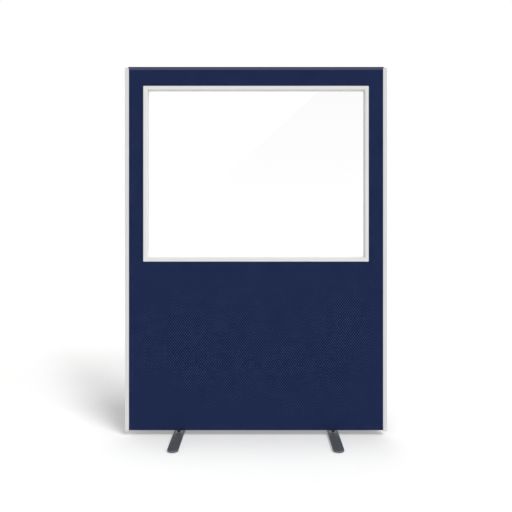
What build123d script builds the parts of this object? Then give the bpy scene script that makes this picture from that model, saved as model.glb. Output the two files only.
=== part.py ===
from build123d import *
import os

os.makedirs("parts", exist_ok=True)

# Overall sizes in millimetres: X is the width, -Y the front and the floor is at Z zero
screen_width = 1200
screen_height = 1690
ground_clearance = 26
overrun = 5

# Layers of the panel, from the timber core outwards
core_thickness = 24
board_thickness = 5
cloth_thickness = 1
skin_clearance = 0.2

# Side trims: a pocket that takes the panel's edge and a slot down the outer side
trim_face_width = 18
trim_wall = 1.5
trim_edge_radius = 1.2
slot_mouth = 8
slot_lip = 2
slot_cavity_width = 16
slot_cavity_depth = 4
slot_floor = 2
trim_screw_count = 3

# End caps of the side trims
end_cap_thickness = 4
end_cap_chamfer = 3
end_cap_side_chamfer = 1.2
spigot_length = 12
spigot_clearance = 0.2

# Top capping, and the strip that closes its slot and runs over the end caps
top_cap_height = 9
top_slot_lip = 1
top_slot_depth = 2.5
top_slot_floor = 2
top_slot_mouth = 8
top_slot_width = 14
strip_thickness = 4.5
strip_overlap = 6
strip_edge_radius = 1.5
strip_leg_clearance = 0.2
strip_barb_width = 10
strip_barb_height = 1.2

# Strip under the lower edge, between the turned-in edges of the cloth
bottom_strip_width = 20
bottom_strip_thickness = 2.5
bottom_strip_gap = 0.3
bottom_strip_end_gap = 1

# Vision window, measured over the flange of its frame
window_height = 804
window_top_margin = 87
window_side_margin = 66
flange_width = 15
flange_thickness = 2.2
flange_overlap = 12
flange_edge_radius = 0.8
bevel_width = 4.6
bevel_drop = 4.6
leg_clearance = 0.5
chamber_wall = 1.6
key_clearance = 0.15
key_arm = 45

# Glazing
pane_thickness = 5
pane_edge_gap = 2
pane_edge_chamfer = 0.5
gasket_thickness = 1
gasket_width = 4.6
block_length = 60
block_side_clearance = 0.3

# Timber rails and the tenons at their ends
mid_rail_height = 60
bottom_rail_height = 70
tenon_thickness = 8
tenon_length = 30
tenon_shoulder = 12
tenon_clearance = 0.1

# Countersunk wood screws of the side trims
screw_length = 25
screw_head_radius = 3.4
screw_shank_radius = 1.75
screw_clearance = 0.1

# Feet
foot_inset = 245
foot_length = 480
foot_width = 48
foot_thickness = 8
foot_edge_chamfer = 1.2
pad_radius = 16
pad_height = 3
pad_inset = 27
pad_edge_chamfer = 0.6

# Pivot of each foot: bolt, insert, spacer and washer
bolt_radius = 4
bolt_head_radius = 8
bolt_socket_radius = 2.9
bolt_socket_depth = 2.5
bolt_end_gap = 3
pivot_clearance = 0.06
head_clearance = 0.15
insert_radius = 6.5
insert_length = 25
insert_clearance = 0.05
spacer_radius = 8
spacer_bore_clearance = 0.3
washer_radius = 12
washer_thickness = 1.5
running_gap = 0.2

# Levels and distances that follow from the sizes above
face_y = core_thickness / 2 + board_thickness + cloth_thickness
board_y = core_thickness / 2 + board_thickness
trim_half_depth = face_y + skin_clearance + trim_wall
half_width = screen_width / 2
slot_floor_x = half_width - slot_lip - slot_cavity_depth
pocket_floor_x = slot_floor_x - slot_floor
trim_inner_x = half_width - trim_face_width
trim_top_z = screen_height - strip_thickness
trim_end_z = trim_top_z - end_cap_thickness
trim_length = trim_end_z - ground_clearance
trim_mid_z = (trim_end_z + ground_clearance) / 2
panel_top_z = trim_top_z - top_slot_lip - top_slot_depth - top_slot_floor
panel_bottom_z = ground_clearance + cloth_thickness
panel_mid_z = (panel_top_z + panel_bottom_z) / 2
panel_rise = panel_top_z - panel_bottom_z
window_width = 2 * (trim_inner_x - window_side_margin)
window_mid_z = screen_height - window_top_margin - window_height / 2
opening_width = window_width - 2 * flange_overlap
opening_height = window_height - 2 * flange_overlap
opening_top_z = window_mid_z + opening_height / 2
opening_bottom_z = window_mid_z - opening_height / 2
opening_x = opening_width / 2
mid_rail_bottom_z = opening_bottom_z - mid_rail_height
bottom_rail_top_z = panel_bottom_z + bottom_rail_height
foot_x = half_width - foot_inset
foot_top_z = pad_height + foot_thickness
strip_bottom_z = panel_bottom_z - bottom_strip_thickness
sides = {"left": -1, "right": 1}
faces = {"front": -1, "back": 1}


def edge_plane(x, sign):
    """A plane at x on one side of the screen, facing out, with its own x running up the height."""
    return Plane(origin=(sign * x, 0, 0), x_dir=(0, 0, 1), z_dir=(sign, 0, 0))


# Bottom and top of each rail of the core
rails = {
    "core_top_rail": (opening_top_z, panel_top_z),
    "core_mid_rail": (mid_rail_bottom_z, opening_bottom_z),
    "core_bottom_rail": (panel_bottom_z, bottom_rail_top_z),
}
trim_screw_pitch = trim_length / trim_screw_count
pilot_radius = screw_shank_radius + screw_clearance
pilot_depth = screw_length + screw_clearance

# One countersunk screw, its head level with the plane it is placed on and its shank below
with BuildPart() as screw:
    with BuildSketch(Plane.XZ):
        with BuildLine():
            Polyline(
                (0, 0),
                (screw_head_radius, 0),
                (screw_shank_radius, screw_shank_radius - screw_head_radius),
                (screw_shank_radius, -screw_length),
                (0, -screw_length),
                close=True,
            )
        make_face()
    revolve(axis=Axis.Z)

# Timber uprights, mortised for the rails inside and drilled for the trim screws outside
for side, sign in sides.items():
    with BuildPart() as core_stile:
        with BuildSketch(Plane.XZ):
            with Locations((sign * (opening_x + pocket_floor_x) / 2, panel_mid_z)):
                Rectangle(pocket_floor_x - opening_x, panel_rise)
        extrude(amount=core_thickness / 2, both=True)
        with BuildSketch(Plane.YZ.offset(sign * opening_x)):
            for bottom, top in rails.values():
                with Locations((0, (bottom + top) / 2)):
                    Rectangle(
                        tenon_thickness + 2 * tenon_clearance,
                        top - bottom - 2 * (tenon_shoulder - tenon_clearance),
                    )
        extrude(amount=sign * (tenon_length + tenon_clearance), mode=Mode.SUBTRACT)
        with Locations(edge_plane(pocket_floor_x, sign)):
            with Locations((trim_mid_z, 0)):
                with GridLocations(trim_screw_pitch, 0, trim_screw_count, 1):
                    Hole(pilot_radius, depth=pilot_depth - slot_floor)
    core_stile.part.label = f"core_stile_{side}"
    export_step(core_stile.part, f"parts/core_stile_{side}.step")

# Timber rails with a tenon at each end; the bottom one is bored for the inserts of the feet
for rail, (bottom, top) in rails.items():
    with BuildPart() as core_rail:
        with BuildSketch(Plane.XZ):
            with Locations((0, (bottom + top) / 2)):
                Rectangle(opening_width, top - bottom)
        extrude(amount=core_thickness / 2, both=True)
        with BuildSketch(Plane.XZ):
            with Locations((0, (bottom + top) / 2)):
                Rectangle(opening_width + 2 * tenon_length, top - bottom - 2 * tenon_shoulder)
        extrude(amount=tenon_thickness / 2, both=True)
        if rail == "core_bottom_rail":
            with Locations(Plane(origin=(0, 0, bottom), z_dir=(0, 0, -1))):
                with GridLocations(2 * foot_x, 0, 2, 1):
                    Hole(insert_radius + insert_clearance, depth=insert_length + insert_clearance)
    core_rail.part.label = rail
    export_step(core_rail.part, f"parts/{rail}.step")

# Absorbing slab that fills the closed bay between the mid and bottom rails
with BuildPart() as acoustic_infill:
    with BuildSketch(Plane.XZ):
        with Locations((0, (bottom_rail_top_z + mid_rail_bottom_z) / 2)):
            Rectangle(opening_width, mid_rail_bottom_z - bottom_rail_top_z)
    extrude(amount=core_thickness / 2, both=True)
acoustic_infill.part.label = "acoustic_infill"
export_step(acoustic_infill.part, "parts/acoustic_infill.step")

# Thin boards on both faces of the core, cut out for the window
for face, out in faces.items():
    with BuildPart() as board:
        with BuildSketch(Plane.XZ.offset(-out * core_thickness / 2)):
            with Locations((0, panel_mid_z)):
                Rectangle(2 * pocket_floor_x, panel_rise)
            with Locations((0, window_mid_z)):
                Rectangle(opening_width, opening_height, mode=Mode.SUBTRACT)
        extrude(amount=-out * board_thickness)
    board.part.label = f"board_{face}"
    export_step(board.part, f"parts/board_{face}.step")

# Cloth stretched over each board and turned in under the lower edge
for face, out in faces.items():
    with BuildPart() as fabric:
        with BuildSketch(Plane.YZ):
            with BuildLine():
                Polyline(
                    (out * board_y, panel_top_z),
                    (out * face_y, panel_top_z),
                    (out * face_y, ground_clearance),
                    (out * (bottom_strip_width / 2 + bottom_strip_gap), ground_clearance),
                    (out * (bottom_strip_width / 2 + bottom_strip_gap), panel_bottom_z),
                    (out * board_y, panel_bottom_z),
                    close=True,
                )
            make_face()
            fold = vertices().group_by(Axis.Y)[0].sort_by(Axis.X)
            fillet(fold[-1] if out > 0 else fold[0], cloth_thickness)
        extrude(amount=pocket_floor_x, both=True)
        with BuildSketch(Plane.XZ):
            with Locations((0, window_mid_z)):
                Rectangle(opening_width, opening_height)
        extrude(amount=face_y + overrun, both=True, mode=Mode.SUBTRACT)
    fabric.part.label = f"fabric_{face}"
    export_step(fabric.part, f"parts/fabric_{face}.step")

# Extruded side trims with a T-shaped linking slot, screwed through the slot's floor
for side, sign in sides.items():
    with BuildPart() as trim:
        with BuildSketch(Plane.XY.offset(ground_clearance)):
            with Locations((sign * (half_width + trim_inner_x) / 2, 0)):
                RectangleRounded(trim_face_width, 2 * trim_half_depth, trim_edge_radius)
            with Locations((sign * (trim_inner_x + pocket_floor_x - overrun) / 2, 0)):
                Rectangle(
                    pocket_floor_x - trim_inner_x + overrun,
                    2 * (face_y + skin_clearance),
                    mode=Mode.SUBTRACT,
                )
            with Locations((sign * (slot_floor_x + slot_cavity_depth / 2), 0)):
                Rectangle(slot_cavity_depth, slot_cavity_width, mode=Mode.SUBTRACT)
            with Locations((sign * (slot_floor_x + half_width + overrun) / 2, 0)):
                Rectangle(half_width - slot_floor_x + overrun, slot_mouth, mode=Mode.SUBTRACT)
        extrude(amount=trim_length)
        with Locations(edge_plane(slot_floor_x, sign)):
            with Locations((trim_mid_z, 0)):
                with GridLocations(trim_screw_pitch, 0, trim_screw_count, 1):
                    CounterSinkHole(
                        pilot_radius,
                        screw_head_radius + screw_clearance,
                        depth=slot_floor + overrun,
                        counter_sink_angle=90,
                    )
    trim.part.label = f"trim_{side}"
    export_step(trim.part, f"parts/trim_{side}.step")

    with BuildPart() as trim_screws:
        with Locations(edge_plane(slot_floor_x, sign)):
            with Locations((trim_mid_z, 0)):
                with GridLocations(trim_screw_pitch, 0, trim_screw_count, 1):
                    add(screw.part)
    trim_screws.part.label = f"trim_screws_{side}"
    export_step(trim_screws.part, f"parts/trim_screws_{side}.step")

# Moulded end caps, each with a spigot that plugs into the slot's cavity
cap_levels = {"top": (trim_end_z, 1), "bottom": (ground_clearance, -1)}
for end, (level, up) in cap_levels.items():
    for side, sign in sides.items():
        with BuildPart() as trim_cap:
            with BuildSketch(Plane.XY.offset(level)):
                with Locations((sign * (half_width + trim_inner_x) / 2, 0)):
                    Rectangle(trim_face_width, 2 * trim_half_depth)
            extrude(amount=up * end_cap_thickness)
            chamfer(trim_cap.edges().filter_by(Axis.Z), end_cap_side_chamfer)
            end_edges = trim_cap.faces().sort_by(Axis.Z)[-1 if up > 0 else 0].edges()
            outer_edge = end_edges.filter_by(Axis.Y).sort_by(Axis.X)[-1 if sign > 0 else 0]
            chamfer(outer_edge, end_cap_chamfer)
            with BuildSketch(Plane.XY.offset(level)):
                with Locations((sign * (slot_floor_x + slot_cavity_depth / 2), 0)):
                    Rectangle(
                        slot_cavity_depth - 2 * spigot_clearance,
                        slot_cavity_width - 2 * spigot_clearance,
                    )
            extrude(amount=-up * spigot_length)
        trim_cap.part.label = f"trim_cap_{end}_{side}"
        export_step(trim_cap.part, f"parts/trim_cap_{end}_{side}.step")

# Capping along the top edge, with a slot for its cover strip
with BuildPart() as top_cap:
    with BuildSketch(Plane.YZ):
        with Locations((0, trim_top_z - top_cap_height / 2)):
            Rectangle(2 * trim_half_depth, top_cap_height)
        with Locations((0, (trim_top_z - top_cap_height + panel_top_z - overrun) / 2)):
            Rectangle(
                2 * (face_y + skin_clearance),
                panel_top_z - trim_top_z + top_cap_height + overrun,
                mode=Mode.SUBTRACT,
            )
        with Locations((0, panel_top_z + top_slot_floor + top_slot_depth / 2)):
            Rectangle(top_slot_width, top_slot_depth, mode=Mode.SUBTRACT)
        with Locations((0, (panel_top_z + top_slot_floor + trim_top_z + overrun) / 2)):
            Rectangle(
                top_slot_mouth,
                trim_top_z - panel_top_z - top_slot_floor + overrun,
                mode=Mode.SUBTRACT,
            )
    extrude(amount=trim_inner_x, both=True)
top_cap.part.label = "top_cap"
export_step(top_cap.part, "parts/top_cap.step")

# Cover strip with mitred ends and a barbed leg that snaps into the capping's slot
strip_half_length = trim_inner_x + strip_overlap
with BuildPart() as top_slot_strip:
    with BuildSketch(Plane.XZ):
        with BuildLine():
            Polyline(
                (-strip_half_length, trim_top_z),
                (strip_half_length, trim_top_z),
                (strip_half_length - strip_thickness, screen_height),
                (strip_thickness - strip_half_length, screen_height),
                close=True,
            )
        make_face()
    extrude(amount=trim_half_depth, both=True)
    top_edges = top_slot_strip.edges().filter_by(Axis.X).group_by(Axis.Z)[-1]
    fillet(top_edges, strip_edge_radius)
    with BuildSketch(Plane.YZ):
        with Locations((0, trim_top_z)):
            Rectangle(
                top_slot_mouth - 2 * strip_leg_clearance,
                top_slot_lip + strip_leg_clearance,
                align=(Align.CENTER, Align.MAX),
            )
        with Locations((0, trim_top_z - top_slot_lip - strip_leg_clearance)):
            Rectangle(strip_barb_width, strip_barb_height, align=(Align.CENTER, Align.MAX))
    extrude(amount=trim_inner_x, both=True)
top_slot_strip.part.label = "top_slot_strip"
export_step(top_slot_strip.part, "parts/top_slot_strip.step")

# Strip glued below the bottom rail, between the turned-in edges of the cloth
with BuildPart() as bottom_strip:
    with BuildSketch(Plane.XY.offset(strip_bottom_z)):
        Rectangle(2 * (trim_inner_x - bottom_strip_end_gap), bottom_strip_width)
        with GridLocations(2 * foot_x, 0, 2, 1):
            Circle(bolt_radius + spacer_bore_clearance, mode=Mode.SUBTRACT)
    extrude(amount=bottom_strip_thickness)
bottom_strip.part.label = "bottom_strip"
export_step(bottom_strip.part, "parts/bottom_strip.step")

# Clear pane, in the middle of the screen's thickness
pane_rim = flange_overlap + pane_edge_gap
with BuildPart() as window_pane:
    with BuildSketch(Plane.XZ):
        with Locations((0, window_mid_z)):
            Rectangle(window_width - 2 * pane_rim, window_height - 2 * pane_rim)
    extrude(amount=pane_thickness / 2, both=True)
    pane_edges = window_pane.edges().filter_by(Axis.Y, reverse=True)
    chamfer(pane_edges, pane_edge_chamfer)
window_pane.part.label = "window_pane"
export_step(window_pane.part, "parts/window_pane.step")

# Hollow bars of the window frame: a flange on the cloth, a bevel and a leg that holds the gasket
sight_line = flange_width + bevel_width
leg_start = flange_overlap + leg_clearance
leg_end_y = pane_thickness / 2 + gasket_thickness
flange_y = face_y + flange_thickness
bevel_end_y = flange_y - bevel_drop
chamber_end_y = bevel_end_y - chamber_wall
window_bars = {
    "top": (Vector(0, 0, window_mid_z + window_height / 2), Vector(0, 0, -1), window_width),
    "bottom": (Vector(0, 0, window_mid_z - window_height / 2), Vector(0, 0, 1), window_width),
    "left": (Vector(-window_width / 2, 0, window_mid_z), Vector(1, 0, 0), window_height),
    "right": (Vector(window_width / 2, 0, window_mid_z), Vector(-1, 0, 0), window_height),
}
for face, out in faces.items():
    for bar, (middle, inward, length) in window_bars.items():
        along = inward.cross(Vector(0, out, 0))
        with BuildPart() as bezel:
            with BuildSketch(Plane(origin=middle, x_dir=inward, z_dir=along)):
                with BuildLine():
                    Polyline(
                        (0, face_y),
                        (0, flange_y),
                        (flange_width, flange_y),
                        (sight_line, bevel_end_y),
                        (sight_line, leg_end_y),
                        (leg_start, leg_end_y),
                        (leg_start, face_y),
                        close=True,
                    )
                make_face()
                outer_corner = vertices().group_by(Axis.X)[0].sort_by(Axis.Y)[-1]
                fillet(outer_corner, flange_edge_radius)
                with Locations((leg_start + chamber_wall, leg_end_y + chamber_wall)):
                    Rectangle(
                        sight_line - leg_start - 2 * chamber_wall,
                        chamber_end_y - leg_end_y - chamber_wall,
                        align=(Align.MIN, Align.MIN),
                        mode=Mode.SUBTRACT,
                    )
            extrude(amount=length / 2, both=True)
            for end in (-1, 1):
                corner = middle + along * (end * length / 2)
                split(bisect_by=Plane(corner, z_dir=along * end + inward), keep=Keep.BOTTOM)
        bezel.part.label = f"window_bezel_{face}_{bar}"
        export_step(bezel.part, f"parts/window_bezel_{face}_{bar}.step")

# Corner keys inside the mitres, one L in each corner of each frame
key_outer = leg_start + chamber_wall + key_clearance
key_inner = sight_line - chamber_wall - key_clearance
key_start_y = leg_end_y + chamber_wall + key_clearance
key_depth = chamber_end_y - key_clearance - key_start_y
corner_x = window_width / 2
corner_z = window_mid_z + window_height / 2
for face, out in faces.items():
    with BuildPart() as bezel_keys:
        with BuildSketch(Plane.XZ.offset(-out * key_start_y)):
            with BuildLine():
                Polyline(
                    (corner_x - key_outer, corner_z - key_outer),
                    (corner_x - key_arm, corner_z - key_outer),
                    (corner_x - key_arm, corner_z - key_inner),
                    (corner_x - key_inner, corner_z - key_inner),
                    (corner_x - key_inner, corner_z - key_arm),
                    (corner_x - key_outer, corner_z - key_arm),
                    close=True,
                )
            make_face()
            mirror(about=Plane.YZ)
            mirror(about=Plane.XZ.offset(-window_mid_z))
        extrude(amount=-out * key_depth)
    bezel_keys.part.label = f"bezel_keys_{face}"
    export_step(bezel_keys.part, f"parts/bezel_keys_{face}.step")

# Glazing gaskets between the pane and the legs of the window frames
for face, out in faces.items():
    with BuildPart() as gasket:
        with BuildSketch(Plane.XZ.offset(-out * pane_thickness / 2)):
            with Locations((0, window_mid_z)):
                gasket_rim = sight_line - gasket_width
                Rectangle(window_width - 2 * gasket_rim, window_height - 2 * gasket_rim)
                Rectangle(
                    window_width - 2 * sight_line,
                    window_height - 2 * sight_line,
                    mode=Mode.SUBTRACT,
                )
        extrude(amount=-out * gasket_thickness)
    gasket.part.label = f"gasket_{face}"
    export_step(gasket.part, f"parts/gasket_{face}.step")

# Setting blocks that carry the pane on the mid rail
with BuildPart() as setting_blocks:
    with Locations((0, 0, opening_bottom_z)):
        with GridLocations(opening_width / 2, 0, 2, 1):
            Box(
                block_length,
                2 * (leg_end_y - block_side_clearance),
                pane_edge_gap,
                align=(Align.CENTER, Align.CENTER, Align.MIN),
            )
setting_blocks.part.label = "setting_blocks"
export_step(setting_blocks.part, "parts/setting_blocks.step")

# Plain inserts that give the pivot bolts their thread, sunk in the bottom rail
with BuildPart() as foot_inserts:
    with BuildSketch(Plane.XY.offset(panel_bottom_z)):
        with GridLocations(2 * foot_x, 0, 2, 1):
            Circle(insert_radius)
            Circle(bolt_radius + insert_clearance, mode=Mode.SUBTRACT)
    extrude(amount=insert_length)
foot_inserts.part.label = "foot_inserts"
export_step(foot_inserts.part, "parts/foot_inserts.step")

# Collars that hold the screen above its feet, and the washers below them
washer_bottom_z = foot_top_z + running_gap
washer_top_z = washer_bottom_z + washer_thickness
with BuildPart() as foot_spacers:
    with BuildSketch(Plane.XY.offset(washer_top_z)):
        with GridLocations(2 * foot_x, 0, 2, 1):
            Circle(spacer_radius)
            Circle(bolt_radius + spacer_bore_clearance, mode=Mode.SUBTRACT)
    extrude(amount=strip_bottom_z - washer_top_z)
foot_spacers.part.label = "foot_spacers"
export_step(foot_spacers.part, "parts/foot_spacers.step")

with BuildPart() as foot_washers:
    with BuildSketch(Plane.XY.offset(washer_bottom_z)):
        with GridLocations(2 * foot_x, 0, 2, 1):
            Circle(washer_radius)
            Circle(bolt_radius + spacer_bore_clearance, mode=Mode.SUBTRACT)
    extrude(amount=washer_thickness)
foot_washers.part.label = "foot_washers"
export_step(foot_washers.part, "parts/foot_washers.step")

# Countersunk socket bolts, their heads flush with the underside of the bars
bolt_length = panel_bottom_z + insert_length - bolt_end_gap - pad_height
head_height = bolt_head_radius - bolt_radius
with BuildPart() as pivot_bolt:
    with BuildSketch(Plane.XZ):
        with BuildLine():
            Polyline(
                (0, 0),
                (bolt_head_radius, 0),
                (bolt_radius, head_height),
                (bolt_radius, bolt_length),
                (0, bolt_length),
                close=True,
            )
        make_face()
    revolve(axis=Axis.Z)
    with BuildSketch(Plane.XY):
        RegularPolygon(bolt_socket_radius, 6)
    extrude(amount=bolt_socket_depth, mode=Mode.SUBTRACT)
with BuildPart() as foot_bolts:
    with Locations((0, 0, pad_height)):
        with GridLocations(2 * foot_x, 0, 2, 1):
            add(pivot_bolt.part)
foot_bolts.part.label = "foot_bolts"
export_step(foot_bolts.part, "parts/foot_bolts.step")

# Feet: a flat bar with round ends on two rubber pads, countersunk below for its pivot bolt
for side, sign in sides.items():
    pivot_x = sign * foot_x
    with BuildPart() as foot_bar:
        with BuildSketch(Plane.XY.offset(pad_height)):
            with Locations((pivot_x, 0)):
                SlotOverall(foot_length, foot_width, rotation=90)
        extrude(amount=foot_thickness)
        chamfer(foot_bar.faces().sort_by(Axis.Z)[-1].edges(), foot_edge_chamfer)
        with Locations(Plane(origin=(pivot_x, 0, pad_height), z_dir=(0, 0, -1))):
            CounterSinkHole(
                bolt_radius + pivot_clearance,
                bolt_head_radius + head_clearance,
                counter_sink_angle=90,
            )
    foot_bar.part.label = f"foot_bar_{side}"
    export_step(foot_bar.part, f"parts/foot_bar_{side}.step")

    with BuildPart() as foot_pads:
        with Locations((pivot_x, 0, 0)):
            with GridLocations(0, foot_length - 2 * pad_inset, 1, 2):
                Cylinder(pad_radius, pad_height, align=(Align.CENTER, Align.CENTER, Align.MIN))
        chamfer(foot_pads.edges().group_by(Axis.Z)[0], pad_edge_chamfer)
    foot_pads.part.label = f"foot_pads_{side}"
    export_step(foot_pads.part, f"parts/foot_pads_{side}.step")
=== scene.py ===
import math

import bmesh
import bpy
from mathutils import Matrix, Vector


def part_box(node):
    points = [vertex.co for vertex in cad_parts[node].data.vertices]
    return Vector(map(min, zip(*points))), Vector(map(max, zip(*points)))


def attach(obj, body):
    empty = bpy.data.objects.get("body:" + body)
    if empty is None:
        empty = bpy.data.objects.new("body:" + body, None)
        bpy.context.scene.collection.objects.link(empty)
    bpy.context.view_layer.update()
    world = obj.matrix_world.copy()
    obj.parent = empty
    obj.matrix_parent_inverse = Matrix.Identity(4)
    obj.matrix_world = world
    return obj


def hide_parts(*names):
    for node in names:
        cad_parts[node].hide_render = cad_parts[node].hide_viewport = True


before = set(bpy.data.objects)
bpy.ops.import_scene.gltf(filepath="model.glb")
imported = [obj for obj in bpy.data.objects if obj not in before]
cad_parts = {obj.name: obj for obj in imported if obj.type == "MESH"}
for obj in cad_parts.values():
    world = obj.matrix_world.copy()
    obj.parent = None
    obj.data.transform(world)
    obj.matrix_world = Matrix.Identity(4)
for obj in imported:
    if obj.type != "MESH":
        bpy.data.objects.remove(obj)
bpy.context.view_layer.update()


# Timber core: two uprights and three rails of planed spruce, tenoned and glued together. The
# cloth, the boards and the trims hide it, so its grain only has to be right if it is opened up.

def shade(red, green, blue):
    """A colour given in screen levels from 0 to 255, as a shader takes it."""
    levels = [level / 255 for level in (red, green, blue)]
    return tuple(v / 12.92 if v <= 0.04045 else ((v + 0.055) / 1.055) ** 2.4 for v in levels)


def node(tree, kind, inputs=None, **settings):
    """A node with its settings; each input is joined to a socket or holds a value."""
    made = tree.nodes.new(kind)
    for name, value in settings.items():
        setattr(made, name, value)
    for place, value in (inputs or {}).items():
        if isinstance(value, bpy.types.NodeSocket):
            tree.links.new(value, made.inputs[place])
        else:
            made.inputs[place].default_value = value
    return made


def math_node(tree, operation, *values):
    """The result of one sum on values or sockets."""
    return node(tree, "ShaderNodeMath", dict(enumerate(values)), operation=operation).outputs[0]


def blend_colours(tree, factor, first, second):
    """A colour between two, by the factor."""
    inputs = {0: factor, 6: (*first, 1), 7: (*second, 1)}
    return node(tree, "ShaderNodeMix", inputs, data_type="RGBA").outputs[2]


def start_group(name, inputs, outputs):
    """A shader node group with its named sockets, its inputs' node and its outputs' node."""
    group = bpy.data.node_groups.new(name, "ShaderNodeTree")
    for label, kind, value in inputs:
        socket = group.interface.new_socket(label, in_out="INPUT", socket_type=kind)
        if value is not None:
            socket.default_value = value
    for label in outputs:
        group.interface.new_socket(label, in_out="OUTPUT", socket_type="NodeSocketFloat")
    return group, group.nodes.new("NodeGroupInput"), group.nodes.new("NodeGroupOutput")


def start_material(name, colour, roughness, metallic=0.0):
    """A material, its node tree and its Principled shader."""
    material = bpy.data.materials.new(name)
    material.use_nodes = True
    shader = material.node_tree.nodes["Principled BSDF"]
    shader.inputs["Base Color"].default_value = (*colour, 1)
    shader.inputs["Roughness"].default_value = roughness
    shader.inputs["Metallic"].default_value = metallic
    return material, material.node_tree, shader


def on_object(tree, scale=(1, 1, 1)):
    """Object coordinates, in metres, stretched by the scale."""
    place = node(tree, "ShaderNodeTexCoord").outputs["Object"]
    return node(tree, "ShaderNodeMapping", {"Vector": place, "Scale": scale}).outputs[0]


def raise_surface(tree, shader, height, distance):
    """The height of a pattern turned into small relief, the distance deep in metres."""
    relief = node(tree, "ShaderNodeBump", {"Height": height, "Distance": distance, "Strength": 1})
    tree.links.new(relief.outputs[0], shader.inputs["Normal"])


def finish_nodes(material, *names):
    """The CAD nodes of these names wear the material."""
    for name in names:
        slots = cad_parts[name].data.materials
        slots.clear()
        slots.append(material)


# Growth rings and pores, for a coordinate that is squeezed along the grain
pore_share = 0.3
wood_grain, taken, given = start_group(
    "wood_grain", [("Vector", "NodeSocketVector", None)], ["Tone", "Height"]
)
rings = node(wood_grain, "ShaderNodeTexNoise", {
    "Vector": taken.outputs["Vector"], "Scale": 70, "Detail": 3, "Distortion": 0.8,
})
pores = node(wood_grain, "ShaderNodeTexNoise", {
    "Vector": taken.outputs["Vector"], "Scale": 900, "Detail": 2,
})
mixed_grain = math_node(
    wood_grain, "MULTIPLY_ADD", pores.outputs[0], pore_share, rings.outputs[0]
)
wood_grain.links.new(mixed_grain, given.inputs["Tone"])
wood_grain.links.new(pores.outputs[0], given.inputs["Height"])

spruce_pale, spruce_dark = shade(222, 190, 142), shade(186, 143, 92)
pore_depth = 0.0001
along_grain = 0.05
timber_pieces = {
    "timber_upright": ((1, 1, along_grain), ["core_stile_left", "core_stile_right"]),
    "timber_rail": (
        (along_grain, 1, 1), ["core_top_rail", "core_mid_rail", "core_bottom_rail"],
    ),
}
for timber_name, (stretch, timber_nodes) in timber_pieces.items():
    timber, tree, shader = start_material(timber_name, spruce_pale, roughness=0.62)
    grain = node(tree, "ShaderNodeGroup", node_tree=wood_grain)
    tree.links.new(on_object(tree, stretch), grain.inputs["Vector"])
    rings_colour = blend_colours(tree, grain.outputs["Tone"], spruce_pale, spruce_dark)
    tree.links.new(rings_colour, shader.inputs["Base Color"])
    raise_surface(tree, shader, grain.outputs["Height"], pore_depth)
    finish_nodes(timber, *timber_nodes)


# Acoustic filling and boards: a slab of pressed mineral wool in the closed bay, and a thin soft
# fibreboard over each side of the core. Both are pale, fibrous and out of sight.

# Tangled flecks of fibre
fibre_fleck, taken, given = start_group(
    "fibre_fleck",
    [("Vector", "NodeSocketVector", None), ("Scale", "NodeSocketFloat", 400)],
    ["Tone", "Height"],
)
flecks = node(fibre_fleck, "ShaderNodeTexNoise", {
    "Vector": taken.outputs["Vector"], "Scale": taken.outputs["Scale"],
    "Detail": 5, "Roughness": 0.7, "Distortion": 2.5,
})
fibre_fleck.links.new(flecks.outputs[0], given.inputs["Tone"])
fibre_fleck.links.new(flecks.outputs[0], given.inputs["Height"])

fibre_pieces = {
    "mineral_wool": (shade(204, 190, 140), shade(166, 148, 98), 160, 0.0012, ["acoustic_infill"]),
    "soft_fibreboard": (
        shade(178, 148, 112), shade(134, 104, 72), 600, 0.0002, ["board_front", "board_back"],
    ),
}
for fibre_name, (pale, dark, fleck_scale, depth, fibre_nodes) in fibre_pieces.items():
    fibre, tree, shader = start_material(fibre_name, pale, roughness=0.95)
    fleck = node(tree, "ShaderNodeGroup", {"Scale": fleck_scale}, node_tree=fibre_fleck)
    tree.links.new(on_object(tree), fleck.inputs["Vector"])
    fleck_colour = blend_colours(tree, fleck.outputs["Tone"], pale, dark)
    tree.links.new(fleck_colour, shader.inputs["Base Color"])
    raise_surface(tree, shader, fleck.outputs["Height"], depth)
    finish_nodes(fibre, *fibre_nodes)


# Cloth skins: a navy wool cloth in a basket weave, stretched over each board, tucked into the
# side trims and under the capping, and turned in beneath the lower edge. It stands a little
# proud between the edges that hold it down.

# Points nearer to each other than this are one: in cuts and turned shapes, and then elsewhere
merged_within, same_within = 1e-7, 1e-6
sharp_from = math.radians(35)


def cut_at(form, point, direction, clear_outer=False):
    """The new edges where the plane crosses the form, which may lose what lies beyond it."""
    everything = form.verts[:] + form.edges[:] + form.faces[:]
    cut = bmesh.ops.bisect_plane(
        form, geom=everything, plane_co=point, plane_no=direction, dist=merged_within,
        clear_outer=clear_outer,
    )
    return [e for e in cut["geom_cut"] if isinstance(e, bmesh.types.BMEdge)]


def put_in_scene(name, form):
    """The finished form as an object at the origin."""
    mesh = bpy.data.meshes.new(name)
    form.to_mesh(mesh)
    form.free()
    made = bpy.data.objects.new(name, mesh)
    bpy.context.scene.collection.objects.link(made)
    return made


def make_piece(name, form, material, body="screen"):
    """The finished form as a piece of the scene that rides on its body."""
    piece = put_in_scene(name, form)
    piece.data.shade_smooth()
    piece.data.set_sharp_from_angle(angle=sharp_from)
    piece.data.materials.append(material)
    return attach(piece, body)


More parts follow.
